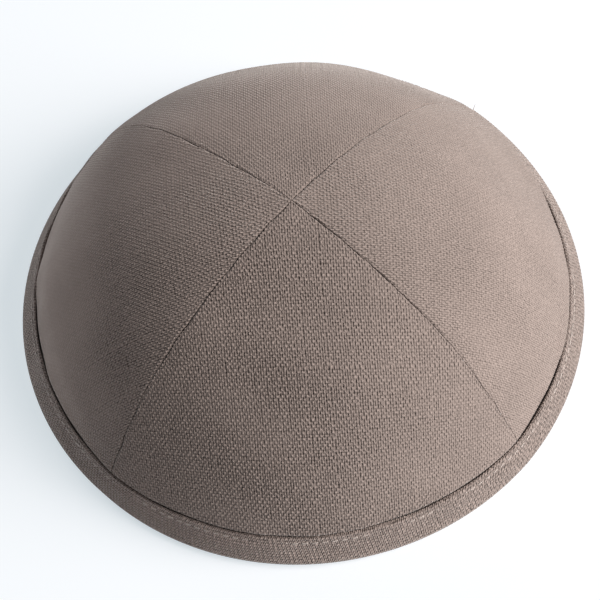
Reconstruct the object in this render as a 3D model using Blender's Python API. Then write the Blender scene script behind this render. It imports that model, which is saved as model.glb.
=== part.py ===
"""A four-gore linen kippah, at its real size in metres, +Z up.

The cap stands on its rim. The origin is the middle of the rim on the surface that it rests on.
The photographed front is towards -Y and the wearer's crown is towards +Z.
"""
import math

import bmesh
import bpy

# Driving dimensions, in metres
RIM_RADIUS = 0.085
CAP_HEIGHT = 0.0542
CLOTH_WALL = 0.0010
BINDING_WALL = 0.0010
BINDING_TOP = 0.0098
FIT_GAP = 0.0003
REST_WIDTH = 0.0010
TIP_RADIUS = 0.0006

# Fullness of the crown, as plain numbers: the share of its drop that comes from the steep lower wall,
# and how quickly the round crown and the steep wall each fall away towards the rim
WALL_SHARE = 0.333
CROWN_POWER = 2.0
WALL_POWER = 6.0

# Where the gores lie: the right-hand gore's middle is turned this far from +X
PLAN_TURN = math.radians(-1.0)

# How far the crown stands out or lies in, as shares of the radius there, a row for each gore's middle and
# each seam, anticlockwise seen from above. The cloth folds at the seams and is slack between them.
PLAN = (
    # direction        shoulder   rim
    ("right",           -0.030,  0.003),
    ("right to back",   -0.035,  0.020),
    ("back",             0.005, -0.022),
    ("back to left",     0.010, -0.005),
    ("left",            -0.050, -0.005),
    ("left to front",   -0.010, -0.005),
    ("front",           -0.030,  0.000),
    ("front to right",   0.000,  0.007),
)

# Mesh fineness
GORE_COLUMNS = 16
CROWN_ROWS = 12
FACE_ROWS = 2

# Colour of the cloth, its roughness, and the slightly deeper tone of the binding
LINEN_COLOUR = (0.29, 0.235, 0.205, 1.0)
BINDING_COLOUR = (0.26, 0.21, 0.185, 1.0)
CLOTH_ROUGHNESS = 0.9

# Sizes that follow from the ones above
SLOT_WIDTH = CLOTH_WALL + 2 * FIT_GAP
RIM_THICKNESS = 2 * BINDING_WALL + SLOT_WIDTH
ROLL_RADIUS = RIM_THICKNESS / 2
FACE_BASE = 1.45 * ROLL_RADIUS
TUCK_DEPTH = BINDING_WALL + FIT_GAP
HALF_GORE = math.pi / 4
BINDING_COLUMNS = 4 * GORE_COLUMNS


def clear_scene():
    for item in list(bpy.data.objects):
        bpy.data.objects.remove(item, do_unlink=True)


def drop_share(share):
    """Share of the crown's height lost between the top and this share of the way out to the rim."""
    return (1 - WALL_SHARE) * share ** CROWN_POWER + WALL_SHARE * share ** WALL_POWER


def share_at_height(height):
    """How far out the face is at a height above the resting surface, as a share of the way to the rim."""
    wanted = (CAP_HEIGHT - height) / (CAP_HEIGHT - FACE_BASE)
    low, high = 0.0, 1.0
    for _ in range(40):
        middle = (low + high) / 2
        if drop_share(middle) < wanted:
            low = middle
        else:
            high = middle
    return (low + high) / 2


def plan_share(turn, column):
    """A PLAN column's value in a direction: creased at each seam and round between the seams."""
    eighths = ((turn - PLAN_TURN) % (2 * math.pi)) / HALF_GORE
    below = int(eighths) % len(PLAN)
    above = (below + 1) % len(PLAN)
    part = eighths - int(eighths)
    if below % 2 == 0:
        middle, seam = PLAN[below][column], PLAN[above][column]
    else:
        middle, seam = PLAN[above][column], PLAN[below][column]
        part = 1 - part
    crease = (1 / math.cos(part * HALF_GORE) - 1) / (1 / math.cos(HALF_GORE) - 1)
    return middle + (seam - middle) * crease


def face_radius(turn, share):
    """Radius of the cap's outer face. The shoulder's share fades out at the top and at the rim."""
    at_shoulder = 1.9 * share * (1 - share ** 4)
    at_rim = share ** 6
    out = 1 + plan_share(turn, 1) * at_shoulder + plan_share(turn, 2) * at_rim
    return RIM_RADIUS * share * out


def face_height(share):
    return CAP_HEIGHT - (CAP_HEIGHT - FACE_BASE) * drop_share(share)


def outward(turn, share):
    """The face's outward direction in its upright plane, as parts along the radius and upwards."""
    step = 0.0005
    run = face_radius(turn, share + step) - face_radius(turn, share - step)
    fall = face_height(share - step) - face_height(share + step)
    length = math.hypot(run, fall)
    return fall / length, run / length


def inside_face(turn, share, depth):
    """Radius and height of the point this deep below the outer face."""
    out, up = outward(turn, share)
    return face_radius(turn, share) - depth * out, face_height(share) - depth * up


def upright_point(turn, radius, height):
    return radius * math.cos(turn), radius * math.sin(turn), height


def roll_point(turn, angle):
    """A point on the round fold under the rim, by its angle from the horizontal."""
    radius, height = inside_face(turn, 1.0, ROLL_RADIUS)
    return radius + ROLL_RADIUS * math.cos(angle), height + ROLL_RADIUS * math.sin(angle)


def binding_section(turn):
    """The tape's closed outline in one upright plane: over the outside, under the rim, up inside, and
    down and up the slot that the gores' hem sits in."""
    heights = [BINDING_TOP + (FACE_BASE - BINDING_TOP) * row / (FACE_ROWS + 1) for row in range(FACE_ROWS + 2)]
    shares = [share_at_height(height) for height in heights]
    middle = inside_face(turn, 1.0, ROLL_RADIUS)[0]
    outer = [inside_face(turn, share, 0.0) for share in shares]
    outer_fold = [roll_point(turn, math.radians(angle)) for angle in (-5, -42)]
    rest = [(middle + REST_WIDTH / 2, 0.0), (middle - REST_WIDTH / 2, 0.0)]
    inner_fold = [roll_point(turn, math.radians(-125))]
    inner = [inside_face(turn, share, RIM_THICKNESS) for share in reversed(shares)]
    slot_inner = [inside_face(turn, share, BINDING_WALL + SLOT_WIDTH) for share in shares]
    slot_outer = [inside_face(turn, share, BINDING_WALL) for share in reversed(shares)]
    return outer + outer_fold + rest + inner_fold + inner + slot_inner + slot_outer


def gore_rows():
    """Share of the way out and depth of the gore's outer skin, from its tip to its hem."""
    tip = TIP_RADIUS / RIM_RADIUS
    edge = share_at_height(BINDING_TOP + TUCK_DEPTH)
    rows = [(tip + (edge - tip) * row / CROWN_ROWS, 0.0) for row in range(CROWN_ROWS + 1)]
    hem = FACE_BASE + FIT_GAP
    for row in range(FACE_ROWS + 1):
        height = BINDING_TOP + (hem - BINDING_TOP) * row / FACE_ROWS
        rows.append((share_at_height(height), TUCK_DEPTH))
    return rows


def new_material(name, colour):
    material = bpy.data.materials.new(name)
    material.use_nodes = True
    shader = material.node_tree.nodes["Principled BSDF"]
    shader.inputs["Base Color"].default_value = colour
    shader.inputs["Roughness"].default_value = CLOTH_ROUGHNESS
    shader.inputs["Metallic"].default_value = 0.0
    material.diffuse_color = colour
    return material


def new_body(name, points, faces, material):
    """One closed mesh object, placed so that the rim's middle is the origin."""
    mesh = bpy.data.meshes.new(name)
    mesh.from_pydata(points, [], faces)
    build = bmesh.new()
    build.from_mesh(mesh)
    bmesh.ops.translate(build, verts=build.verts, vec=(-MIDDLE[0], -MIDDLE[1], 0.0))
    bmesh.ops.recalc_face_normals(build, faces=build.faces)
    build.to_mesh(mesh)
    build.free()
    mesh.shade_smooth()
    mesh.set_sharp_from_angle(angle=math.radians(40))
    mesh.materials.append(material)
    body = bpy.data.objects.new(name, mesh)
    bpy.context.scene.collection.objects.link(body)
    return body


def gore(name, middle_turn, material):
    """A gore between two seams: an outer and an inner skin, closed round the edges. Its long edges run
    beside the seams, half a gap from each."""
    rows = gore_rows()
    columns = GORE_COLUMNS + 1
    points = []
    for skin_depth in (0.0, CLOTH_WALL):
        for share, depth in rows:
            for column in range(columns):
                turn = middle_turn - HALF_GORE + 2 * HALF_GORE * column / GORE_COLUMNS
                radius, height = inside_face(turn, share, depth + skin_depth)
                from_seam = math.asin(FIT_GAP / 2 / radius)
                if column == 0:
                    turn += from_seam
                elif column == GORE_COLUMNS:
                    turn -= from_seam
                else:
                    low = middle_turn - HALF_GORE + from_seam
                    turn = low + 2 * (HALF_GORE - from_seam) * column / GORE_COLUMNS
                points.append(upright_point(turn, radius, height))

    def at(skin, row, column):
        return (skin * len(rows) + row) * columns + column

    last_row, last_column = len(rows) - 1, columns - 1
    faces = []
    for row in range(last_row):
        for column in range(last_column):
            faces.append((at(0, row, column), at(0, row, column + 1), at(0, row + 1, column + 1),
                          at(0, row + 1, column)))
            faces.append((at(1, row, column), at(1, row + 1, column), at(1, row + 1, column + 1),
                          at(1, row, column + 1)))
    for row in range(last_row):
        for column in (0, last_column):
            faces.append((at(0, row, column), at(0, row + 1, column), at(1, row + 1, column),
                          at(1, row, column)))
    for column in range(last_column):
        for row in (0, last_row):
            faces.append((at(0, row, column), at(0, row, column + 1), at(1, row, column + 1),
                          at(1, row, column)))
    return new_body(name, points, faces, material)


def binding_sections():
    turns = [PLAN_TURN + 2 * math.pi * column / BINDING_COLUMNS for column in range(BINDING_COLUMNS)]
    return [[upright_point(turn, *point) for point in binding_section(turn)] for turn in turns]


def rim_middle():
    """The middle of the cap's width and depth, which is where the origin goes."""
    points = [point for section in binding_sections() for point in section]
    return [(min(p[axis] for p in points) + max(p[axis] for p in points)) / 2 for axis in (0, 1)]


def binding(material):
    """The folded tape: its outline carried round the rim and closed on itself."""
    sections = binding_sections()
    count = len(sections[0])
    faces = []
    for column in range(BINDING_COLUMNS):
        beside = (column + 1) % BINDING_COLUMNS
        for row in range(count):
            below = (row + 1) % count
            faces.append((column * count + row, column * count + below, beside * count + below,
                          beside * count + row))
    return new_body("rim_binding", [point for section in sections for point in section], faces, material)


MIDDLE = rim_middle()

clear_scene()
linen = new_material("taupe_linen", LINEN_COLOUR)
for quarter, side in enumerate(("right", "back", "left", "front")):
    gore("panel_" + side, PLAN_TURN + quarter * 2 * HALF_GORE, linen)
binding(new_material("taupe_linen_binding", BINDING_COLOUR))
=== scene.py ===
"""The looks of a four-gore linen kippah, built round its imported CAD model, in metres.

It follows the cap as it is made. The view, the floor and the light come first, then the four gores and
the seams between them, the binding round the rim, the thread that holds it on, and one loose end.
"""
import math

import bmesh
import bpy
import numpy as np
from mathutils import Matrix, Vector


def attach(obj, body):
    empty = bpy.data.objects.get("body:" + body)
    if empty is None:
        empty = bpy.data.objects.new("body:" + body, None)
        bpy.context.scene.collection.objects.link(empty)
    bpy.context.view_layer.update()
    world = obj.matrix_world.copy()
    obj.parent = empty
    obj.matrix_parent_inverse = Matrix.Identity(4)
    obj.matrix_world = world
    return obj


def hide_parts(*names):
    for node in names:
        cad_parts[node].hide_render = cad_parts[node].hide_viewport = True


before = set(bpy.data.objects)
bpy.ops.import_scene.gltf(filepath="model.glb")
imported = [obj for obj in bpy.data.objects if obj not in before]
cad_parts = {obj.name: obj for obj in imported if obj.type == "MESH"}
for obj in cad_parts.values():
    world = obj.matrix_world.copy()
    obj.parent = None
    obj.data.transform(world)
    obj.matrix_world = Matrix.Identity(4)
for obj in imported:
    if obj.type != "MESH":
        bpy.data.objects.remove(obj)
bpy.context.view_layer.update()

# The camera stands in front of the cap and looks down on it from a little over 60 degrees, close by and
# turned a few degrees on its side, as the photograph was taken.
VIEW_MIDDLE = Vector((-0.0006, -0.0068, 0.0120))
VIEW_DISTANCE = 0.425
VIEW_ELEVATION = math.radians(61.38)
VIEW_ROLL = math.radians(-5.65)
VIEW_LENS = 86.3
SENSOR_WIDTH = 36.0

towards_camera = Vector((0.0, -math.cos(VIEW_ELEVATION), math.sin(VIEW_ELEVATION)))
picture_right = Vector((1.0, 0.0, 0.0))
picture_up = towards_camera.cross(picture_right)
level_view = Matrix((picture_right, picture_up, towards_camera)).transposed()
camera_data = bpy.data.cameras.new("photo_view")
camera_data.lens = VIEW_LENS
camera_data.sensor_width = SENSOR_WIDTH
camera_data.clip_start = 0.01
camera_data.clip_end = 20.0
camera = bpy.data.objects.new("photo_view", camera_data)
camera.matrix_world = (
    Matrix.Translation(VIEW_MIDDLE + VIEW_DISTANCE * towards_camera)
    @ (level_view @ Matrix.Rotation(VIEW_ROLL, 3, "Z")).to_4x4()
)
bpy.context.scene.collection.objects.link(camera)
bpy.context.scene.camera = camera
bpy.context.scene.view_settings.view_transform = "Standard"

# The floor is a plain pale sheet of paper on a light table, lit faintly from below so that shadows on it
# stay thin.
FLOOR_WIDTH = 3.0
FLOOR_WHITE = (0.50, 0.46, 0.46, 1.0)
FLOOR_GREY = (0.47, 0.43, 0.43, 1.0)
FLOOR_CLOUD_SCALE = 1.5
FLOOR_GLOW = (0.85, 0.95, 1.0, 1.0)
FLOOR_GLOW_STRENGTH = 0.63
FLOOR_ROUGHNESS = 0.7
FLOOR_SHINE = 0.2


def add_node(tree, kind, inputs=(), **settings):
    """A node with its settings made. Each input is a number, a colour or another node's output."""
    made = tree.nodes.new(kind)
    for setting, value in settings.items():
        setattr(made, setting, value)
    for place, value in dict(inputs).items():
        if isinstance(value, bpy.types.NodeSocket):
            tree.links.new(value, made.inputs[place])
        else:
            made.inputs[place].default_value = value
    return made


def plain_mesh(name, points, faces):
    """A mesh object from its points and faces."""
    mesh = bpy.data.meshes.new(name)
    mesh.from_pydata(points, [], faces)
    made = bpy.data.objects.new(name, mesh)
    bpy.context.scene.collection.objects.link(made)
    return made


paper = bpy.data.materials.new("pale_paper")
paper.use_nodes = True
paper_shader = paper.node_tree.nodes["Principled BSDF"]
paper_shader.inputs["Roughness"].default_value = FLOOR_ROUGHNESS
paper_shader.inputs["Specular IOR Level"].default_value = FLOOR_SHINE
paper_shader.inputs["Emission Color"].default_value = FLOOR_GLOW
paper_shader.inputs["Emission Strength"].default_value = FLOOR_GLOW_STRENGTH
paper_place = add_node(paper.node_tree, "ShaderNodeTexCoord")
paper_cloud = add_node(paper.node_tree, "ShaderNodeTexNoise", {
    "Vector": paper_place.outputs["Object"], "Scale": FLOOR_CLOUD_SCALE,
})
paper_tone = add_node(paper.node_tree, "ShaderNodeMix", {
    0: paper_cloud.outputs["Fac"], 6: FLOOR_WHITE, 7: FLOOR_GREY,
}, data_type="RGBA")
paper.node_tree.links.new(paper_tone.outputs[2], paper_shader.inputs["Base Color"])
half_floor = FLOOR_WIDTH / 2
floor = plain_mesh(
    "floor",
    [(-half_floor, -half_floor, 0), (half_floor, -half_floor, 0), (half_floor, half_floor, 0),
     (-half_floor, half_floor, 0)],
    [(0, 1, 2, 3)],
)
floor.data.materials.append(paper)

# The light is a large soft window on the right, a weaker one far behind on the left, and a weak cool fill
# from all round. The cap's left side falls into soft shade.
FILL_COLOUR = (0.92, 0.95, 1.0, 1.0)
FILL_STRENGTH = 0.150
WINDOWS = (
    # name           place                          width  power  colour
    ("window",       Vector((1.17, -0.19, 0.72)),   0.9,   30.0,  (1.0, 0.985, 0.965)),
    ("far_window",   Vector((-0.72, 0.98, 0.25)),   0.9,    5.5,  (0.96, 0.98, 1.0)),
)

for name, place, width, power, colour in WINDOWS:
    window_data = bpy.data.lights.new(name, "AREA")
    window_data.shape = "SQUARE"
    window_data.size = width
    window_data.energy = power
    window_data.color = colour
    window = bpy.data.objects.new(name, window_data)
    facing = (place - VIEW_MIDDLE).to_track_quat("Z", "Y").to_matrix().to_4x4()
    window.matrix_world = Matrix.Translation(place) @ facing
    bpy.context.scene.collection.objects.link(window)
surroundings = bpy.data.worlds.new("pale_room")
surroundings.use_nodes = True
surroundings.node_tree.nodes["Background"].inputs["Color"].default_value = FILL_COLOUR
surroundings.node_tree.nodes["Background"].inputs["Strength"].default_value = FILL_STRENGTH
bpy.context.scene.world = surroundings

# The four gores are cut from one taupe plain-weave linen, each with its warp down its middle. They are
# sewn edge to edge with the seam allowances pressed open inside, and stretch over a round crown. The
# crown's sizes and its plan are those of the solid model, so the cloth lies where the solids are.
RIM_RADIUS = 0.085
CAP_HEIGHT = 0.0542
ROLL_RADIUS = 0.0018
FACE_BASE = 1.45 * ROLL_RADIUS
BINDING_TOP = 0.0098
WALL_SHARE = 0.333
CROWN_POWER = 2
WALL_POWER = 6
SHOULDER_SCALE = 1.9
PLAN_TURN = math.radians(-1.0)
HALF_GORE = math.pi / 4
# The middle of the cap's width and depth, seen from the point that its seams cross at
RIM_MIDDLE = (0.0003236, -0.0010013)
# How far the crown stands out or lies in at each gore's middle and each seam, as shares of its radius
CROWN_PLAN = (
    # direction        shoulder   rim
    ("right",           -0.030,  0.003),
    ("right to back",   -0.035,  0.020),
    ("back",             0.005, -0.022),
    ("back to left",     0.010, -0.005),
    ("left",            -0.050, -0.005),
    ("left to front",   -0.010, -0.005),
    ("front",           -0.030,  0.000),
    ("front to right",   0.000,  0.007),
)
# Each gore's quarter turn, how far its grain is turned and its wefts are skewed in degrees, and how far
# apart its yarns are
GORES = (
    # side    quarter  turn   skew   warp pitch  weft pitch
    ("right",    0,    -1.7,   0.0,   0.000600,   0.000857),
    ("back",     1,    -1.0,   0.0,   0.000645,   0.000765),
    ("left",     2,     2.5,   0.0,   0.000615,   0.000870),
    ("front",    3,     0.0,  -3.0,   0.000673,   0.000910),
)
# The weave is open at the crown and more so in front. It is flatter on the right and behind, and flattest
# at the left edge. On the right, where the window's light falls straight in, its gaps also get less painted
# shade. Each is a share, and comes in over a range of distances from the cap's middle.
PRESSED = 0.38
PRESSED_AND_LIT_RIGHT = (0.0, 0.06)
PRESSED_BACK = (-0.005, 0.04)
EDGE_PRESSED = 0.7
EDGE_PRESSED_LEFT = (0.047, 0.076)
FRONT_OPEN = 0.12
OPEN_FRONT = (-0.01, 0.03)
OPEN_SWELL = 0.10
OPEN_LENGTH = 0.022
# How far each seam gapes along its way from the crown to the rim, from 0, shut, to 1
SEAMS = (
    # seam              at the crown, then at each eighth of the way to the rim
    ("right to back",   (0.8, 0.8, 0.5, 0.6, 0.3, 0.5, 0.2, 0.3, 0.4)),
    ("back to left",    (0.1, 0.6, 0.5, 0.7, 0.7, 0.3, 0.0, 0.0, 0.2)),
    ("left to front",   (0.7, 0.9, 0.6, 0.8, 0.7, 0.3, 0.9, 0.8, 0.0)),
    ("front to right",  (0.0, 0.8, 0.5, 0.7, 0.4, 0.4, 0.1, 0.2, 0.0)),
)
# Radius that the cloth turns under at a seam, how uneven the seam's gape and its line are, and the pull
# of its stitches
SHUT_FOLD = 0.00012
OPEN_FOLD = 0.00072
# Share of the painted shade in a seam's fold that is kept where the seam is shut
SHUT_SHADE = 0.15
GAPE_CHANGE = 0.16
GAPE_LENGTH = 0.006
SEAM_WANDER = 0.00014
SEAM_WANDER_LENGTH = 0.011
SEAM_KINK = 0.5
SEAM_KINK_LENGTH = 0.0035
SEAM_STITCH = 0.0017
SEAM_PULL = 0.22
DRAWN_IN = (-0.012, -0.002)
FOLD_SMOOTHING = 0.6
# Beside each seam the cloth's faces are split at these distances from it, so that they bend there
SEAM_LINES = (-0.0010, -0.0007, -0.00045, -0.0002, 0.0, 0.0002, 0.00045, 0.0008)
ALLOWANCE = 0.0065
ALLOWANCE_RIDGE = 0.00012
TRIM_MARGIN = 0.0012
TRIM_REACH = 0.005
CROWN_BULGE = 0.0004
CROWN_BULGE_RADIUS = 0.008
GORE_HEM = 0.0062
HEM_SPARE = 0.02
SEAM_SPARE = 0.001
TUCK_DEPTH = 0.0013
TUCK_LENGTH = 0.0012
# Depth of the painted shade where the hem tucks under the binding
TUCK_SHADE = 0.7
RIM_DIP_LENGTH = 0.010
# How far the crown falls in just above the binding, by the direction from the cap's middle in degrees
RIM_DIPS = (
    (-180, 0.0006), (-150, 0.0004), (-120, 0.0), (-15, 0.0), (0, 0.0008), (8, 0.0006), (14, 0.0),
    (22, -0.0006), (45, -0.0003), (60, 0.0), (145, 0.0), (162, 0.0001), (180, 0.0006),
)
SWELL = 0.00045
SWELL_LENGTH = 0.045
PUCKER = 0.00016
PUCKER_LENGTH = 0.013
PUCKER_REACH = 0.007
# The woven piece that each gore is cut from, with its middle this far down from the crown's top
GORE_HALF_WIDTH = 0.078
GORE_HALF_LENGTH = 0.065
GORE_MIDDLE = 0.055
YARN_JITTER = 0.11
YARN_SPREAD = 0.35
# Height of the weave's raised yarns, and what its warps, its wefts and their crossings add to it
FLOAT_HEIGHT = 0.00010
WARP_RIB = 0.26
WEFT_RIB = 0.10
OVER_UNDER = 1.30


def drop_share(share):
    """Share of the crown's height lost between the top and this share of the way out to the rim."""
    return (1 - WALL_SHARE) * share ** CROWN_POWER + WALL_SHARE * share ** WALL_POWER


def plan_share(turn, column):
    """A plan column's value in each direction: creased at the seams and round between them."""
    values = np.array([row[column] for row in CROWN_PLAN])
    eighths = ((turn - PLAN_TURN) % (2 * np.pi)) / HALF_GORE
    below = np.floor(eighths).astype(int) % len(CROWN_PLAN)
    above = (below + 1) % len(CROWN_PLAN)
    from_below = eighths - np.floor(eighths)
    middle_first = below % 2 == 0
    middle = np.where(middle_first, values[below], values[above])
    seam = np.where(middle_first, values[above], values[below])
    part = np.where(middle_first, from_below, 1 - from_below)
    crease = (1 / np.cos(part * HALF_GORE) - 1) / (1 / math.cos(HALF_GORE) - 1)
    return middle + (seam - middle) * crease


def face_radius(turn, share):
    shoulder = plan_share(turn, 1) * SHOULDER_SCALE * share * (1 - share ** 4)
    return RIM_RADIUS * share * (1 + shoulder + plan_share(turn, 2) * share ** 6)


def face_height(share):
    return CAP_HEIGHT - (CAP_HEIGHT - FACE_BASE) * drop_share(share)


# Distance along the cloth from the crown's top, for each share of the way out
WAY_SHARES = np.linspace(0, 1, 801)
around = np.linspace(0, 2 * np.pi, 32, endpoint=False)
mean_radius = np.mean([face_radius(turn, WAY_SHARES) for turn in around], axis=0)
WAY_LENGTHS = np.concatenate(
    [[0], np.cumsum(np.hypot(np.diff(mean_radius), np.diff(face_height(WAY_SHARES))))]
)
RIM_LENGTH = WAY_LENGTHS[-1]
DOME_RADIUS = (RIM_RADIUS ** 2 + CAP_HEIGHT ** 2) / (2 * CAP_HEIGHT)


def length_at_height(height):
    return float(np.interp(-height, -face_height(WAY_SHARES), WAY_LENGTHS))


def on_cap(turn, length, depth):
    """Points this far down the cloth from the crown and this deep below the cap's face. Past the rim the
    face runs straight on."""
    share = np.interp(length, WAY_LENGTHS, WAY_SHARES)
    step = 0.0005
    run = face_radius(turn, share + step) - face_radius(turn, share - step)
    fall = face_height(share - step) - face_height(share + step)
    out, up = fall / np.hypot(run, fall), run / np.hypot(run, fall)
    beyond = np.maximum(length - RIM_LENGTH, 0)
    radius = face_radius(turn, share) - depth * out + beyond * up
    height = face_height(share) - depth * up - beyond * out
    return np.stack(
        [radius * np.cos(turn) - RIM_MIDDLE[0], radius * np.sin(turn) - RIM_MIDDLE[1], height], axis=-1
    )


def ease(low, high, value):
    """0 below low, 1 above high and smooth between."""
    part = np.clip((value - low) / (high - low), 0, 1)
    return part * part * (3 - 2 * part)


def swells(points, wave_length, seed):
    """A smooth uneven swell over points in space, from about -1 to 1."""
    dice = np.random.default_rng(seed)
    total = np.zeros(len(points))
    for _ in range(7):
        way = dice.normal(size=3)
        way *= 2 * np.pi / (np.linalg.norm(way) * wave_length * dice.uniform(0.7, 1.4))
        total += np.sin(points @ way + dice.uniform(0, 2 * np.pi))
    return total / 3


def float_relief(warp, weft, seed):
    """Height of the plain weave at counts of warps and wefts, in floats. Each yarn has its own thickness."""
    dice = np.random.default_rng(seed)
    yarns = np.arange(-400, 1400)
    warp_size = 1 + YARN_SPREAD * np.interp(warp, yarns, dice.normal(size=len(yarns)))
    weft_size = 1 + YARN_SPREAD * np.interp(weft, yarns, dice.normal(size=len(yarns)))
    ribs = WARP_RIB * warp_size * np.cos(2 * np.pi * warp)
    ribs += WEFT_RIB * weft_size * np.cos(2 * np.pi * weft)
    return ribs + OVER_UNDER * np.cos(np.pi * warp) * np.cos(np.pi * weft)


def yarn_places(count, seed):
    """Where a lattice's yarns lie, in pitches. They are not quite evenly spaced."""
    dice = np.random.default_rng(seed)
    whole = np.arange(-count - 2, count + 3)
    places = whole + YARN_JITTER * dice.normal(size=len(whole))
    return np.interp(np.arange(-2 * count, 2 * count + 1) / 2, whole, places)


def cut_gore(quarter, grain_turn, weft_skew, warp_pitch, weft_pitch):
    """A gore's woven cloth laid over a round dome, with its seam allowances, as a bmesh on that dome.
    Its vertices keep their place in the weave. The gore's middle is towards +X."""
    warps = int(GORE_HALF_WIDTH / warp_pitch) + 4
    wefts = int(GORE_HALF_LENGTH / weft_pitch) + 6
    warp_count, weft_count = np.meshgrid(
        np.arange(-2 * warps, 2 * warps + 1) / 2, np.arange(-2 * wefts, 2 * wefts + 1) / 2, indexing="ij"
    )
    warp_place, weft_place = np.meshgrid(
        yarn_places(warps, 10 + quarter), yarn_places(wefts, 20 + quarter), indexing="ij"
    )
    grain, skewed = math.radians(grain_turn), math.radians(grain_turn + weft_skew)
    warp_place *= warp_pitch
    weft_place *= weft_pitch
    across = math.cos(skewed) * warp_place + math.sin(grain) * weft_place
    down = GORE_MIDDLE - math.sin(skewed) * warp_place + math.cos(grain) * weft_place
    side = np.sin(across / DOME_RADIUS)
    level = np.cos(across / DOME_RADIUS)
    dome = np.stack([level * np.sin(down / DOME_RADIUS), side, level * np.cos(down / DOME_RADIUS)], axis=-1)

    # Only the faces inside the cut are built
    diagonal = math.sqrt(0.5)
    past_seam = np.abs(dome[..., 1]) * diagonal - dome[..., 0] * diagonal
    hem = math.cos(length_at_height(GORE_HEM) / DOME_RADIUS)
    edge = math.sin((ALLOWANCE + SEAM_SPARE) / DOME_RADIUS)
    kept = (past_seam < edge) & (dome[..., 2] > hem - HEM_SPARE)
    whole = kept[:-1, :-1] | kept[1:, :-1] | kept[1:, 1:] | kept[:-1, 1:]
    numbers = np.arange(dome[..., 0].size).reshape(dome.shape[:2])
    corners = np.stack([numbers[:-1, :-1], numbers[:-1, 1:], numbers[1:, 1:], numbers[1:, :-1]], axis=-1)
    used, renumbered = np.unique(corners[whole], return_inverse=True)
    mesh = bpy.data.meshes.new("cut")
    mesh.from_pydata(
        (DOME_RADIUS * dome.reshape(-1, 3)[used]).tolist(), [], renumbered.reshape(-1, 4).tolist()
    )
    place = mesh.attributes.new("yarn", "FLOAT_VECTOR", "POINT")
    counts = np.stack([warp_count, weft_count, np.zeros_like(warp_count)], axis=-1).reshape(-1, 3)[used]
    place.data.foreach_set("vector", counts.astype(np.float32).ravel())
    cloth = bmesh.new()
    cloth.from_mesh(mesh)
    bpy.data.meshes.remove(mesh)

    def cut(point, way, trim):
        bmesh.ops.bisect_plane(
            cloth, geom=cloth.verts[:] + cloth.edges[:] + cloth.faces[:], dist=1e-7,
            plane_co=point, plane_no=way, clear_outer=trim,
        )

    cut((0, 0, DOME_RADIUS * hem), (0, 0, -1), True)
    for side_sign in (-1, 1):
        seam_way = Vector((-diagonal, side_sign * diagonal, 0))
        cut(seam_way * DOME_RADIUS * math.sin(ALLOWANCE / DOME_RADIUS), seam_way, True)
        for offset in SEAM_LINES:
            cut(seam_way * offset, seam_way, False)

    # The allowances are trimmed away where they would lie on each other under the crown
    def under_crown(middle):
        return middle.x + TRIM_MARGIN < abs(middle.y) < TRIM_REACH - middle.x

    trimmed = [face for face in cloth.faces if under_crown(face.calc_center_median())]
    bmesh.ops.delete(cloth, geom=trimmed, context="FACES")
    return cloth


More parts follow.
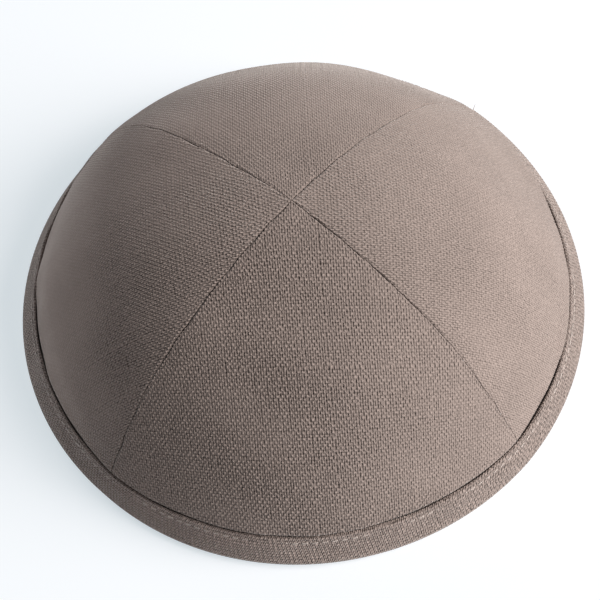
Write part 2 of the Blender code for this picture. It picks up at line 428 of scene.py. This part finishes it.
def sewn_gore(name, quarter, grain_turn, weft_skew, warp_pitch, weft_pitch):
    """One gore, with its edges turned under at the seams, its hem tucked under the binding and its weave
    raised."""
    middle_turn = PLAN_TURN + quarter * 2 * HALF_GORE
    cloth = cut_gore(quarter, grain_turn, weft_skew, warp_pitch, weft_pitch)
    mesh = bpy.data.meshes.new(name)
    cloth.to_mesh(mesh)
    cloth.free()
    count = len(mesh.vertices)
    dome = np.zeros(count * 3, np.float32)
    mesh.vertices.foreach_get("co", dome)
    dome = dome.reshape(-1, 3).astype(float)
    dome /= np.linalg.norm(dome, axis=1)[:, None]
    yarn = np.zeros(count * 3, np.float32)
    mesh.attributes["yarn"].data.foreach_get("vector", yarn)
    yarn = yarn.reshape(-1, 3).astype(float)

    flat_length = DOME_RADIUS * np.arccos(np.clip(dome[:, 2], -1, 1))
    depth = np.zeros(count)
    ridge = np.zeros(count)
    shade = np.zeros(count)
    hidden = np.zeros(count)
    for side_sign, seam in ((-1, SEAMS[quarter - 1]), (1, SEAMS[quarter])):
        gape = np.interp(flat_length / RIM_LENGTH, np.linspace(0, 1, len(seam[1])), seam[1])
        gape *= ease(-0.002, 0.003, flat_length)
        seed = 60 + [row[0] for row in SEAMS].index(seam[0])
        on_seam = np.stack([flat_length, np.zeros(count), np.zeros(count)], axis=-1)
        pulls = SEAM_PULL * np.cos(2 * np.pi * flat_length / SEAM_STITCH)
        gape = np.clip(gape + GAPE_CHANGE * swells(on_seam, GAPE_LENGTH, seed) + pulls, 0, 1)
        fold = SHUT_FOLD + (OPEN_FOLD - SHUT_FOLD) * gape
        wander = swells(on_seam, SEAM_WANDER_LENGTH, seed + 5)
        wander = SEAM_WANDER * (wander + SEAM_KINK * swells(on_seam, SEAM_KINK_LENGTH, seed + 9))
        seam_way = np.array([-math.sqrt(0.5), side_sign * math.sqrt(0.5), 0])
        past = dome @ seam_way
        flat = dome - past[:, None] * seam_way
        flat /= np.linalg.norm(flat, axis=1)[:, None]
        past = DOME_RADIUS * np.arcsin(np.clip(past, -1, 1))
        # The edge rolls half round the fold, from face down to lying back under the gore
        quarter_turn = fold * math.pi / 2
        angle = np.clip((past + quarter_turn) / fold, 0, math.pi)
        drawn_in = (quarter_turn - fold) * ease(*DRAWN_IN, past)
        moved = np.where(
            past < -quarter_turn,
            past + drawn_in,
            -fold + fold * np.sin(angle) - np.maximum(past - quarter_turn, 0),
        )
        moved += side_sign * wander * ease(-0.004, -0.0005, past)
        depth = np.maximum(depth, fold * (1 - np.cos(angle)))
        # Painted shade along each seam's fold, weaker where the seam is shut
        shade = np.maximum(shade, ease(0.6, 1.4, angle) * (SHUT_SHADE + (1 - SHUT_SHADE) * gape))
        hidden = np.maximum(hidden, ease(1.6, 2.6, angle))
        over_allowance = ease(-ALLOWANCE - 0.003, -ALLOWANCE + 0.002, past) * (1 - ease(0.0, 0.001, past))
        ridge = np.maximum(ridge, over_allowance)
        dome = np.sin(moved / DOME_RADIUS)[:, None] * seam_way + np.cos(moved / DOME_RADIUS)[:, None] * flat

    length = DOME_RADIUS * np.arccos(np.clip(dome[:, 2], -1, 1))
    turn = middle_turn + np.arctan2(dome[:, 1], dome[:, 0])
    on_face = on_cap(turn, length, np.zeros(count))
    edge = length_at_height(BINDING_TOP)
    tuck = ease(edge - TUCK_LENGTH * 0.8, edge + TUCK_LENGTH * 0.2, length)
    near_rim = ease(edge - PUCKER_REACH, edge, length) * (1 - tuck)
    directions = np.degrees((turn + np.pi) % (2 * np.pi) - np.pi)
    dip = np.interp(directions, *zip(*RIM_DIPS)) * ease(edge - RIM_DIP_LENGTH, edge - 0.001, length)
    depth += TUCK_DEPTH * tuck + dip * (1 - tuck)
    depth -= ALLOWANCE_RIDGE * ridge * ease(0.001, 0.006, length)
    depth -= CROWN_BULGE * (1 - ease(0, CROWN_BULGE_RADIUS, length))
    depth -= SWELL * swells(on_face, SWELL_LENGTH, 3) * ease(0.004, 0.02, length) * (1 - tuck)
    depth -= PUCKER * swells(on_face, PUCKER_LENGTH, 4) * near_rim
    facing = np.where(hidden > 0.5, -1.0, 1.0)
    rightwards, backwards = on_face[:, 0], on_face[:, 1]
    # On the right the weave is flattened and its gaps get less painted shade, standing in for the window's
    # light
    pressed = np.maximum(ease(*PRESSED_AND_LIT_RIGHT, rightwards), ease(*PRESSED_BACK, backwards))
    openness = (1 - PRESSED * pressed) * (1 + OPEN_SWELL * swells(on_face, OPEN_LENGTH, 8))
    openness *= 1 - EDGE_PRESSED * ease(*EDGE_PRESSED_LEFT, -rightwards)
    openness *= 1 + FRONT_OPEN * ease(*OPEN_FRONT, -backwards)
    relief = float_relief(yarn[:, 0], yarn[:, 1], 30 + quarter) * openness
    depth -= FLOAT_HEIGHT * relief * facing * (1 - FOLD_SMOOTHING * shade)
    mesh.vertices.foreach_set("co", on_cap(turn, length, depth).astype(np.float32).ravel())

    # Painted shade in the seams' folds and where the hem tucks under the binding, kept for the linen's colour
    shade_to_paint = np.maximum(shade * (1 - hidden), TUCK_SHADE * ease(0.3, 0.9, tuck))
    for attribute, values in (("painted_shade", shade_to_paint), ("open", openness)):
        stored = mesh.attributes.new(attribute, "FLOAT", "POINT")
        stored.data.foreach_set("value", values.astype(np.float32))
    corners = np.zeros(len(mesh.loops), np.int32)
    mesh.loops.foreach_get("vertex_index", corners)
    mesh.uv_layers.new(name="weave").data.foreach_set("uv", yarn[corners, :2].astype(np.float32).ravel())
    cut_place = yarn[:, :2] * (warp_pitch, weft_pitch) / (2 * GORE_HALF_WIDTH) + 0.5
    mesh.uv_layers.new(name="OFBake").data.foreach_set("uv", cut_place[corners].astype(np.float32).ravel())
    mesh.attributes.remove(mesh.attributes["yarn"])
    mesh.update()
    mesh.shade_smooth()
    made = bpy.data.objects.new(name, mesh)
    bpy.context.scene.collection.objects.link(made)
    return made


# The linen's own tone for its pale floats, and the painted shade of the brown gaps between the yarns
FLOAT_TONE = (0.385, 0.305, 0.271, 1.0)
GAP_SHADE_TONE = (0.034, 0.024, 0.020, 1.0)
WARP_GAP = 0.50
WEFT_GAP = 0.30
GAP_SHARPNESS = 2.2
GAP_CHANGE_SCALE = 1.1
GAP_CHANGE = {"From Min": 0.30, "From Max": 0.70, "To Min": 0.10, "To Max": 1.90}
WEFT_SHADE = 0.90
OVER_UNDER_BUMP = 0.35
FIBRE_BUMP = 0.15
YARN_BUMP = 0.00020
YARN_DRIFT = 0.36
YARN_DRIFT_SCALE = 0.45
# How far the tone changes along each yarn, from fibre to fibre, and from place to place
YARN_CHANGE = 0.44
YARN_CHANGE_SCALE = 0.16
YARN_APART = 3.71
WARP_START = 11.9
WEFT_START = 57.3
FIBRE_CHANGE = 0.30
CLOTH_CHANGE = 0.22
CLOTH_CHANGE_SCALE = 55.0
FIBRE_SCALE = (11.0, 2.2, 1.0)
# How far the painted shade of folds, tucks and needle holes darkens the linen
GROOVE_SHADE = 0.66
LINEN_ROUGHNESS = 0.92
LINEN_SHINE = 0.15
LINEN_SHEEN = 0.7
LINEN_SHEEN_ROUGHNESS = 0.35
LINEN_SHEEN_TINT = (1.0, 0.93, 0.88, 1.0)


def sums(tree, operation, *values):
    """The output of one calculation on numbers or other nodes' outputs."""
    return add_node(tree, "ShaderNodeMath", dict(enumerate(values)), operation=operation).outputs[0]


def around_one(tree, noise, spread):
    """A noise from 0 to 1 made into a factor round 1, this far from lowest to highest."""
    return sums(tree, "MULTIPLY_ADD", noise, spread, 1 - spread / 2)


def woven_linen(name, painted_light=1.0):
    """Plain-weave linen. The weave follows the UV map of yarn counts. Pale floats of warp and weft alternate,
    with dark gaps of painted shade between them that are deeper where the cloth's "open" value is higher.
    Painted shade of folds and holes comes from a vertex value, and a factor paints the whole cloth lighter."""
    material = bpy.data.materials.new(name)
    material.use_nodes = True
    tree = material.node_tree
    shader = tree.nodes["Principled BSDF"]
    place = add_node(tree, "ShaderNodeUVMap", uv_map="weave").outputs["UV"]

    def noise(scale, detail, vector=place, output="Fac", roughness=0.6):
        return add_node(tree, "ShaderNodeTexNoise", {
            "Vector": vector, "Scale": scale, "Detail": detail, "Roughness": roughness,
        }).outputs[output]

    # The yarns drift a little from their even places and differ in thickness
    drift = add_node(tree, "ShaderNodeVectorMath", {
        0: noise(YARN_DRIFT_SCALE, 2.0, output="Color"), 1: (YARN_DRIFT, YARN_DRIFT, 0.0), 2: place,
    }, operation="MULTIPLY_ADD").outputs[0]
    counts = add_node(tree, "ShaderNodeSeparateXYZ", {"Vector": drift})
    across = sums(tree, "SUBTRACT", counts.outputs["X"], YARN_DRIFT / 2)
    down = sums(tree, "SUBTRACT", counts.outputs["Y"], YARN_DRIFT / 2)

    def wave(count, turns):
        return sums(tree, "COSINE", sums(tree, "MULTIPLY", count, turns * math.pi))

    def beside(count):
        """1 on the line between two yarns, falling to 0 over their middles."""
        return sums(tree, "POWER", sums(tree, "MULTIPLY_ADD", wave(count, 2), -0.5, 0.5), GAP_SHARPNESS)

    # The gaps run along both sides of every yarn and are deepest where four yarns meet. They sink the bump,
    # and their dark colour is painted shade.
    over_under = sums(tree, "MULTIPLY", wave(across, 1), wave(down, 1))
    uneven = add_node(
        tree, "ShaderNodeMapRange", {"Value": noise(GAP_CHANGE_SCALE, 1.0), **GAP_CHANGE}
    ).outputs[0]
    warp_gap = sums(tree, "MULTIPLY_ADD", sums(tree, "MULTIPLY", beside(across), uneven), -WARP_GAP, 1.0)
    weft_gap = sums(tree, "MULTIPLY_ADD", sums(tree, "MULTIPLY", beside(down), uneven), -WEFT_GAP, 1.0)
    openness = add_node(tree, "ShaderNodeAttribute", attribute_name="open").outputs["Fac"]
    gap = sums(tree, "SUBTRACT", 1.0, sums(tree, "MULTIPLY", warp_gap, weft_gap))
    height = sums(tree, "MULTIPLY_ADD", over_under, OVER_UNDER_BUMP, sums(tree, "MULTIPLY", gap, -1.0))
    gap = sums(tree, "MULTIPLY", gap, openness)

    def yarn_tone(count, along, start):
        """Pale and dark stretches along a yarn, different on every yarn."""
        way = add_node(tree, "ShaderNodeCombineXYZ", {
            "X": sums(tree, "MULTIPLY_ADD", sums(tree, "ROUND", count), YARN_APART, start),
            "Y": sums(tree, "MULTIPLY", along, YARN_CHANGE_SCALE),
        }).outputs["Vector"]
        return around_one(tree, noise(1.0, 3.0, vector=way), YARN_CHANGE)

    warp_over = sums(tree, "MULTIPLY_ADD", over_under, 0.5, 0.5)
    weft_tone = sums(tree, "MULTIPLY", yarn_tone(down, across, WEFT_START), WEFT_SHADE)
    warp_tone = yarn_tone(across, down, WARP_START)
    tone = add_node(tree, "ShaderNodeMix", {0: warp_over, 2: weft_tone, 3: warp_tone}).outputs[0]
    fibre_place = add_node(tree, "ShaderNodeMapping", {"Vector": place, "Scale": FIBRE_SCALE})
    fibres = noise(1.0, 4.0, vector=fibre_place.outputs["Vector"], roughness=0.7)
    whole = add_node(tree, "ShaderNodeTexCoord").outputs["Object"]
    painted_shade = add_node(tree, "ShaderNodeAttribute", attribute_name="painted_shade").outputs["Fac"]
    cloud = noise(CLOTH_CHANGE_SCALE, 3.0, vector=whole)
    level = sums(tree, "MULTIPLY", tone, around_one(tree, fibres, FIBRE_CHANGE))
    level = sums(tree, "MULTIPLY", level, around_one(tree, cloud, CLOTH_CHANGE))
    # The yarns' tone is darkened by the painted shade of folds, tucks and needle holes, and scaled by the
    # cloth's painted light factor
    level = sums(tree, "MULTIPLY", level, sums(tree, "MULTIPLY_ADD", painted_shade, -GROOVE_SHADE, painted_light))
    # The gaps are painted in the dark shade tone
    colour = add_node(tree, "ShaderNodeMix", {0: gap, 6: FLOAT_TONE, 7: GAP_SHADE_TONE}, data_type="RGBA")
    toned = add_node(tree, "ShaderNodeHueSaturation", {"Value": level, "Color": colour.outputs[2]})
    relief = sums(tree, "MULTIPLY", sums(tree, "MULTIPLY_ADD", fibres, FIBRE_BUMP, height), openness)
    bump = add_node(tree, "ShaderNodeBump", {"Strength": 1.0, "Distance": YARN_BUMP, "Height": relief})
    tree.links.new(toned.outputs["Color"], shader.inputs["Base Color"])
    tree.links.new(bump.outputs["Normal"], shader.inputs["Normal"])
    shader.inputs["Roughness"].default_value = LINEN_ROUGHNESS
    shader.inputs["Specular IOR Level"].default_value = LINEN_SHINE
    shader.inputs["Sheen Weight"].default_value = LINEN_SHEEN
    shader.inputs["Sheen Roughness"].default_value = LINEN_SHEEN_ROUGHNESS
    shader.inputs["Sheen Tint"].default_value = LINEN_SHEEN_TINT
    return material


crown_linen = woven_linen("crown_linen")
for side, *cut_values in GORES:
    gore = sewn_gore("gore_" + side, *cut_values)
    gore.data.materials.append(crown_linen)
    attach(gore, "root")
    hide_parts("panel_" + side)

# The binding is a strip of the same linen, folded over the rim. It is turned in at both of its edges,
# and its yarns run along the rim with the cross yarns leaning a little.
BINDING_COLUMNS = 906
BINDING_ROW = 0.0009
OUTER_ROWS = 13.5
INNER_ROWS = 13
BINDING_LEAN = math.radians(24)
BINDING_FOLD = 0.00042
BINDING_HEM = 0.0020
INNER_DEPTH = 0.0025
# The topstitching's place below the upper fold, its count, and how it draws the cloth in. The holes are
# this share of a pitch from each pitch's ends.
STITCH_LINE = 0.0022
STITCHES = 186
STITCH_DIMPLE = 0.00008
STITCH_CHANNEL = 0.00004
CHANNEL_WIDTH = 0.0006
DIMPLE_WIDTH = 0.00035
NEEDLE_HOLE = 0.24
# Painted shade in the needle holes' dimples
HOLE_SHADE = 0.35
# The yarns are raised where they show, flatter under the thread, and pressed flat under the rim
BINDING_FLOAT_HEIGHT = 0.8 * FLOAT_HEIGHT
SHOWING_FROM = (-0.0012, 0.0002)
UNDER_THREAD_WIDTH = 0.0005
UNDER_THREAD = 0.75
LOW_PRESSED = 0.85
LOW_FROM = (0.0065, 0.0105)
LOW_TO = (0.0155, 0.018)
BINDING_WAVE = 0.00022
BINDING_WAVE_LENGTH = 0.012
BINDING_WAVE_TO = (0.004, 0.009)
# Painted shade on the binding's turned-in upper edge fades out over this range past its fold
FOLD_SHADE_TO = (-0.0005, 0.0003)
BINDING_OPEN = 1.4
# The binding's copy of the linen is painted this much lighter than the crown's, as painted light
BINDING_PAINTED_LIGHT = 1.26
FLOOR_CLEARANCE = 0.00002
# Laid flat, the binding is cut into strips that lie one above the other, with these margins
BINDING_STRIPS = 6
STRIP_END_MARGIN = 0.01
STRIP_SIDE_MARGIN = 0.04

top_length = length_at_height(BINDING_TOP) + BINDING_FOLD
fold_angles = np.radians(np.linspace(-90, 90, 13))
roll_angles = np.radians(np.linspace(0, 180, 25))
SECTION = np.concatenate([
    [(top_length + BINDING_HEM, 2 * BINDING_FOLD)],
    np.stack([top_length - BINDING_FOLD * np.cos(fold_angles),
              BINDING_FOLD - BINDING_FOLD * np.sin(fold_angles)], axis=-1),
    np.stack([RIM_LENGTH + ROLL_RADIUS * np.sin(roll_angles),
              ROLL_RADIUS - ROLL_RADIUS * np.cos(roll_angles)], axis=-1),
    np.stack([top_length - BINDING_FOLD * np.cos(fold_angles[::-1]),
              INNER_DEPTH - BINDING_FOLD + BINDING_FOLD * np.sin(fold_angles[::-1])], axis=-1),
    [(top_length + BINDING_HEM, INNER_DEPTH - 2 * BINDING_FOLD)],
])
section_steps = np.hypot(*np.diff(SECTION, axis=0).T)
SECTION_WAY = np.concatenate([[0], np.cumsum(section_steps)])
SECTION_WAY -= BINDING_HEM + BINDING_FOLD * math.pi / 2
tangent = np.gradient(SECTION, SECTION_WAY, axis=0)
tangent /= np.linalg.norm(tangent, axis=1)[:, None]


def on_binding(turn, way, proud):
    """Points on the binding, this far round its section from its upper fold and this far out of its cloth."""
    length, depth = (np.interp(way, SECTION_WAY, SECTION[:, axis]) for axis in (0, 1))
    along, inward = (np.interp(way, SECTION_WAY, tangent[:, axis]) for axis in (0, 1))
    steep = np.hypot(along, inward)
    return on_cap(turn, length + proud * inward / steep, depth - proud * along / steep)


def stitch_dent(turn, way):
    """How far the topstitching draws the binding in: a shallow channel with a dimple at each needle hole."""
    past = np.abs(way - STITCH_LINE)
    holes = (turn * STITCHES / (2 * np.pi)) % 1.0
    from_hole = np.abs(np.minimum(holes, 1 - holes) - NEEDLE_HOLE) * 2 * np.pi * RIM_RADIUS / STITCHES
    channel = STITCH_CHANNEL * np.exp(-((past / CHANNEL_WIDTH) ** 2))
    return channel + STITCH_DIMPLE * np.exp(-((from_hole / DIMPLE_WIDTH) ** 2) - (past / DIMPLE_WIDTH) ** 2)


last_way = SECTION_WAY[-1]
outer_rows = np.arange(-1.5, OUTER_ROWS, 0.5) * BINDING_ROW
inner_rows = np.linspace(outer_rows[-1], last_way, INNER_ROWS + 1)[1:]
ways = np.concatenate([[SECTION_WAY[0]], outer_rows, inner_rows])
columns = 2 * BINDING_COLUMNS
column, row = np.meshgrid(np.arange(columns), np.arange(len(ways)), indexing="ij")
way = ways[row]
turn = 2 * np.pi * column / columns - math.tan(BINDING_LEAN) * way / RIM_RADIUS
warp_count, weft_count = column / 2, way / BINDING_ROW
turn, way, warp_count, weft_count = (values.ravel() for values in (turn, way, warp_count, weft_count))
rest = on_binding(turn, way, np.zeros(len(way)))
showing = ease(*SHOWING_FROM, way)
low = ease(*LOW_FROM, way) * (1 - ease(*LOW_TO, way))
under_thread = np.exp(-(((way - STITCH_LINE) / UNDER_THREAD_WIDTH) ** 2))
proud = BINDING_FLOAT_HEIGHT * float_relief(warp_count, weft_count, 40) * showing
proud *= (1 - LOW_PRESSED * low) * (1 - UNDER_THREAD * under_thread)
proud += BINDING_WAVE * swells(rest, BINDING_WAVE_LENGTH, 6) * showing * (1 - ease(*BINDING_WAVE_TO, way))
proud -= stitch_dent(turn, way)
number = np.arange(columns * len(ways)).reshape(columns, len(ways))
beside = np.roll(number, -1, axis=0)
faces = np.stack([number[:, :-1], number[:, 1:], beside[:, 1:], beside[:, :-1]], axis=-1).reshape(-1, 4)
sewn = on_binding(turn, way, proud)
sewn[:, 2] = np.maximum(sewn[:, 2], FLOOR_CLEARANCE)
binding = plain_mesh("binding", sewn.tolist(), faces.tolist())
binding_corners = faces.ravel()
next_column = np.repeat(np.arange(columns), len(ways) - 1)
unwrapped = np.stack([next_column, next_column, next_column + 1, next_column + 1], axis=-1).ravel() / 2
weave_map = np.stack([unwrapped, weft_count[binding_corners]], axis=-1)
binding.data.uv_layers.new(name="weave").data.foreach_set("uv", weave_map.astype(np.float32).ravel())
strip = np.repeat(next_column * BINDING_STRIPS // columns, 4)
across_strip = (way[binding_corners] - SECTION_WAY[0]) / (last_way - SECTION_WAY[0])
along_strip = unwrapped / BINDING_COLUMNS * BINDING_STRIPS - strip
strip_place = np.stack([
    STRIP_END_MARGIN + (1 - 2 * STRIP_END_MARGIN) * along_strip,
    (strip + STRIP_SIDE_MARGIN + (1 - 2 * STRIP_SIDE_MARGIN) * across_strip) / BINDING_STRIPS,
], axis=-1)
binding.data.uv_layers.new(name="OFBake").data.foreach_set("uv", strip_place.astype(np.float32).ravel())
# Painted shade on the turned-in upper edge and in the needle holes, kept for the linen's colour
in_hole = stitch_dent(turn, way) / (STITCH_DIMPLE + STITCH_CHANNEL)
shade_to_paint = np.clip(1 - ease(*FOLD_SHADE_TO, way) + HOLE_SHADE * ease(0.5, 1.0, in_hole), 0, 1)
for attribute, values in (("painted_shade", shade_to_paint), ("open", np.full(len(way), BINDING_OPEN))):
    stored = binding.data.attributes.new(attribute, "FLOAT", "POINT")
    stored.data.foreach_set("value", values.astype(np.float32))
binding.data.shade_smooth()
binding.data.materials.append(woven_linen("binding_linen", BINDING_PAINTED_LIGHT))
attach(binding, "root")
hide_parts("rim_binding")

# The topstitching is one row of sewing thread all round, about 2 mm below the binding's upper edge. Each
# stitch lies on the cloth and dives into it at its ends. The same row shows again inside.
THREAD_RADIUS = 0.00021
THREAD_UNEVEN = (0.9, 1.15)
STITCH_JITTER = 0.02
STITCH_TILT = 0.00012
TILT_UNEVEN = (0.4, 1.5)
STITCH_SINK = 0.00030
STITCH_LIFT = 0.05
THREAD_FLATNESS = 0.5
THREAD_TONE = (0.52, 0.44, 0.395, 1.0)
THREAD_SIDES = 7
THREAD_ROUGHNESS = 0.55
THREAD_SHEEN = 0.2
PLY_SCALE = 4500.0
PLY_CHANGE = 0.5
PLY_BUMP = 0.00005
PLY_BUMP_STRENGTH = 0.6
# Along a stitch, as shares of the stitches' pitch: how high the thread lies, from -1, in the cloth, to 1,
# and how thick it is
STITCH_COURSE = (
    # along  height  thick
    (0.17,   -1.0,   0.8),
    (0.23,   -0.1,   1.0),
    (0.32,    0.75,  1.0),
    (0.44,    1.0,   1.0),
    (0.56,    1.0,   1.0),
    (0.68,    0.75,  1.0),
    (0.77,   -0.1,   1.0),
    (0.83,   -1.0,   0.8),
)
inner_stitch_line = last_way + SECTION_WAY[0] - STITCH_LINE


def tube_faces(first, rings, sides):
    """The faces of an open tube whose rings of points start at this number."""
    faces = []
    for ring in range(rings - 1):
        for side in range(sides):
            beside = (side + 1) % sides
            here = first + ring * sides
            above = here + sides
            faces.append((here + side, here + beside, above + beside, above + side))
    return faces


def stitch_row(name, stitch_way, seed):
    """A row of stitches round the rim, each a bent length of thread."""
    dice = np.random.default_rng(seed)
    along, lift, slim = np.array(STITCH_COURSE).T
    points, faces = [], []
    ring = np.linspace(0, 2 * np.pi, THREAD_SIDES, endpoint=False)
    for stitch in range(STITCHES):
        start = stitch + dice.normal(scale=STITCH_JITTER, size=2)
        thick = THREAD_RADIUS * dice.uniform(*THREAD_UNEVEN)
        tilt = STITCH_TILT * dice.uniform(*TILT_UNEVEN)
        share = along * (1 + start[1] - start[0])
        turns = 2 * np.pi * (start[0] + share) / STITCHES
        ways_here = stitch_way + tilt * (0.5 - along) * 2
        height = thick * STITCH_LIFT * lift - STITCH_SINK * (lift < -0.5)
        faces.extend(tube_faces(len(points), len(along), THREAD_SIDES))
        for turn_here, way_here, high, size in zip(turns, ways_here, height, thick * slim):
            spot_way = way_here + size * np.sin(ring)
            spot_high = high + THREAD_FLATNESS * size * np.cos(ring)
            spots = on_binding(np.full(THREAD_SIDES, turn_here), spot_way, spot_high)
            points.extend(spots.tolist())
    made = plain_mesh(name, points, faces)
    made.data.shade_smooth()
    return made


thread = bpy.data.materials.new("sewing_thread")
thread.use_nodes = True
thread_tree = thread.node_tree
thread_shader = thread_tree.nodes["Principled BSDF"]
thread_place = add_node(thread_tree, "ShaderNodeTexCoord")
ply = add_node(thread_tree, "ShaderNodeTexNoise", {
    "Vector": thread_place.outputs["Object"], "Scale": PLY_SCALE, "Detail": 2.0,
}).outputs["Fac"]
ply_tone = add_node(thread_tree, "ShaderNodeHueSaturation", {
    "Value": around_one(thread_tree, ply, PLY_CHANGE), "Color": THREAD_TONE,
})
ply_bump = add_node(thread_tree, "ShaderNodeBump", {
    "Strength": PLY_BUMP_STRENGTH, "Distance": PLY_BUMP, "Height": ply,
})
thread_tree.links.new(ply_tone.outputs["Color"], thread_shader.inputs["Base Color"])
thread_tree.links.new(ply_bump.outputs["Normal"], thread_shader.inputs["Normal"])
thread_shader.inputs["Roughness"].default_value = THREAD_ROUGHNESS
thread_shader.inputs["Sheen Weight"].default_value = THREAD_SHEEN
STITCH_ROWS = (
    # row                  way round the section  seed
    ("topstitching",       STITCH_LINE,            70),
    ("inner_topstitching", inner_stitch_line,      71),
)
for row_values in STITCH_ROWS:
    stitching = stitch_row(*row_values)
    stitching.data.materials.append(thread)
    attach(stitching, "root")

# A loose end of fine thread stands up from the edge, where the seam behind on the right runs under the
# binding. It is one short, bent strand that thins towards its tip.
LOOSE_TURN = math.radians(42.6)
LOOSE_START = 0.0975
LOOSE_LENGTH = 0.0028
LOOSE_RADIUS = 0.00016
LOOSE_TAPER = 0.6
LOOSE_DEPTH = 0.0002
LOOSE_WAY = np.array([0.20, 0.62, 0.76])
LOOSE_BEND = np.array([0.125, -0.05, 0.0])
LOOSE_RINGS = 7
LOOSE_SIDES = 5

loose_root = on_cap(np.array([LOOSE_TURN]), np.array([LOOSE_START]), np.array([LOOSE_DEPTH]))[0]
loose_angles = np.linspace(0, 2 * np.pi, LOOSE_SIDES, endpoint=False)
loose_ring = np.stack([np.cos(loose_angles), np.sin(loose_angles), np.zeros(LOOSE_SIDES)], axis=-1)
loose_points = []
for share in np.linspace(0, 1, LOOSE_RINGS):
    middle = loose_root + LOOSE_LENGTH * (share * LOOSE_WAY + share ** 2 * LOOSE_BEND)
    loose_points.extend((middle + LOOSE_RADIUS * (1 - LOOSE_TAPER * share) * loose_ring).tolist())
loose_yarn = plain_mesh("loose_yarn", loose_points, tube_faces(0, LOOSE_RINGS, LOOSE_SIDES))
loose_yarn.data.shade_smooth()
loose_yarn.data.materials.append(thread)
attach(loose_yarn, "root")
